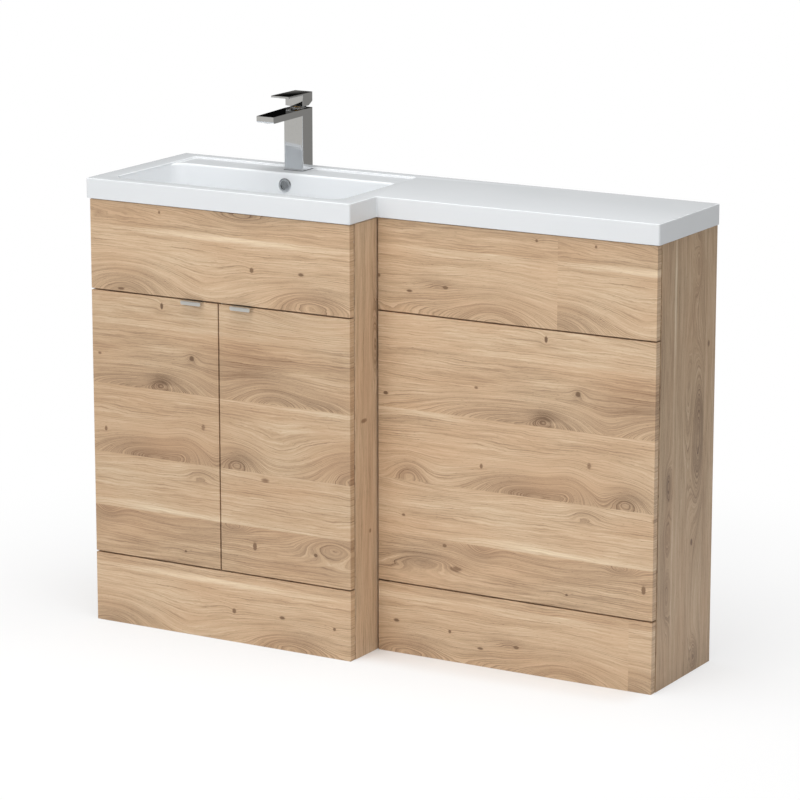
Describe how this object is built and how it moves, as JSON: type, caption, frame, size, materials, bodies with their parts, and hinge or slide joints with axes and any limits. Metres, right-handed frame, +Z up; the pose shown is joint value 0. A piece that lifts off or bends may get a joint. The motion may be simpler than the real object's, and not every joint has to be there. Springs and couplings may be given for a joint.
{
  "type": "freestanding vanity unit",
  "caption": "Floor-standing vanity cabinet with paired doors joined to a slim WC cabinet, under an L-shaped basin top with a square single-lever mixer.",
  "frame": {"origin": "centre of the whole unit's footprint at floor level", "axes": "+Z up, +Y towards the wall behind the unit, +X towards the WC cabinet"},
  "size_m": [1.211, 0.367, 1.0599],
  "materials": {
    "oak_front": "oak-effect laminated board, horizontal grain, satin",
    "oak_gable": "oak-effect laminated board, vertical grain, satin",
    "oak_inner": "oak-effect laminated board, satin",
    "beech_dowel": "fluted beech, bare",
    "clip_plastic": "moulded off-white plastic",
    "shelf_pin_steel": "nickel-plated steel",
    "joining_bolt_steel": "nickel-plated steel",
    "handle_metal": "satin-plated folded sheet",
    "screw_steel": "zinc-plated steel",
    "bumper_plastic": "soft clear-white pad",
    "hinge_steel": "nickel-plated steel",
    "basin_gloss": null,
    "sealant": "dark bedding bead",
    "overflow_chrome": "chrome-plated",
    "duct_plastic": "moulded white plastic",
    "waste_chrome": "chrome-plated brass",
    "seal_rubber": "moulded rubber",
    "backnut_plastic": "moulded white plastic",
    "tap_chrome": "polished chrome plate on brass",
    "tap_brass": "bare turned brass",
    "aerator_plastic": "grey plastic insert",
    "cartridge_plastic": "ceramic-disc cartridge in a white plastic case"
  },
  "bodies": {
    "cabinet": {"vanity_gable_left": "oak_gable", "vanity_gable_right": "oak_gable", "vanity_bottom": "oak_inner", "vanity_front_rail": "oak_inner", "vanity_back_rail_upper": "oak_inner", "vanity_back_rail_lower": "oak_inner", "vanity_shelf": "oak_inner", "shelf_pins": "shelf_pin_steel", "carcass_dowels": "beech_dowel", "vanity_fascia": "oak_front", "vanity_plinth": "oak_front", "vanity_panel_clips": "clip_plastic", "hinge_arms": "hinge_steel", "hinge_arm_pins": "hinge_steel", "hinge_plates": "hinge_steel", "hinge_plate_screws": "screw_steel", "wc_gable_left": "oak_gable", "wc_gable_right": "oak_gable", "wc_front_rail_upper": "oak_inner", "wc_front_rail_middle": "oak_inner", "wc_front_rail_lower": "oak_inner", "wc_back_rail_upper": "oak_inner", "wc_back_rail_lower": "oak_inner", "wc_fascia": "oak_front", "wc_lower_panel": "oak_front", "wc_plinth": "oak_front", "wc_panel_clips": "clip_plastic", "joining_bolts": "joining_bolt_steel", "basin_top": "basin_gloss", "basin_bowl": "basin_gloss", "bedding_sealant": "sealant", "overflow_ring": "overflow_chrome", "overflow_duct": "duct_plastic", "waste_body": "waste_chrome", "waste_seal": "seal_rubber", "waste_backnut": "backnut_plastic", "tap_body": "tap_chrome", "tap_base": "tap_chrome", "tap_aerator": "aerator_plastic", "tap_cartridge": "cartridge_plastic", "tap_neck": "tap_chrome", "tap_fixings": "tap_brass"},
    "hinge_link_left": {"hinge_links_left": "hinge_steel"},
    "door_left": {"door_left": "oak_front", "handle_left": "handle_metal", "handle_screws_left": "screw_steel", "door_bumpers_left": "bumper_plastic", "hinge_cups_left": "hinge_steel", "hinge_cup_screws_left": "screw_steel"},
    "hinge_link_right": {"hinge_links_right": "hinge_steel"},
    "door_right": {"door_right": "oak_front", "handle_right": "handle_metal", "handle_screws_right": "screw_steel", "door_bumpers_right": "bumper_plastic", "hinge_cups_right": "hinge_steel", "hinge_cup_screws_right": "screw_steel"},
    "tap_swivel": {"tap_spindle": "tap_brass"},
    "tap_lever": {"tap_lever": "tap_chrome", "lever_pin": "tap_brass"},
    "waste_plug": {"waste_plug": "waste_chrome"}
  },
  "joints": [
    {"name": "door_left_link", "type": "hinge", "parent": "cabinet", "child": "hinge_link_left", "pos_m": [-0.5605, -0.1495, 0.413], "axis": [0, 0, 1], "range_deg": [0, 24]},
    {"name": "door_left_hinge", "type": "hinge", "parent": "hinge_link_left", "child": "door_left", "pos_m": [-0.5885, -0.159, 0.413], "axis": [0, 0, -1], "range_deg": [0, 120]},
    {"name": "door_right_link", "type": "hinge", "parent": "cabinet", "child": "hinge_link_right", "pos_m": [-0.0405, -0.1495, 0.413], "axis": [0, 0, -1], "range_deg": [0, 24]},
    {"name": "door_right_hinge", "type": "hinge", "parent": "hinge_link_right", "child": "door_right", "pos_m": [-0.0125, -0.159, 0.413], "axis": [0, 0, 1], "range_deg": [0, 120]},
    {"name": "tap_swivel", "type": "hinge", "parent": "cabinet", "child": "tap_swivel", "pos_m": [-0.302, 0.1335, 1.03], "axis": [0, 0, 1], "range_deg": [-45, 45]},
    {"name": "tap_lift", "type": "hinge", "parent": "tap_swivel", "child": "tap_lever", "pos_m": [-0.302, 0.1335, 1.0437], "axis": [-1, 0, 0], "range_deg": [0, 25]},
    {"name": "plug_lift", "type": "slide", "parent": "cabinet", "child": "waste_plug", "axis": [0, 0, 1], "range_m": [0, 0.008]}
  ],
  "couplings": [
    {"joint": "door_left_link", "follows": "door_left_hinge", "ratio": 0.2},
    {"joint": "door_right_link", "follows": "door_right_hinge", "ratio": 0.2}
  ]
}
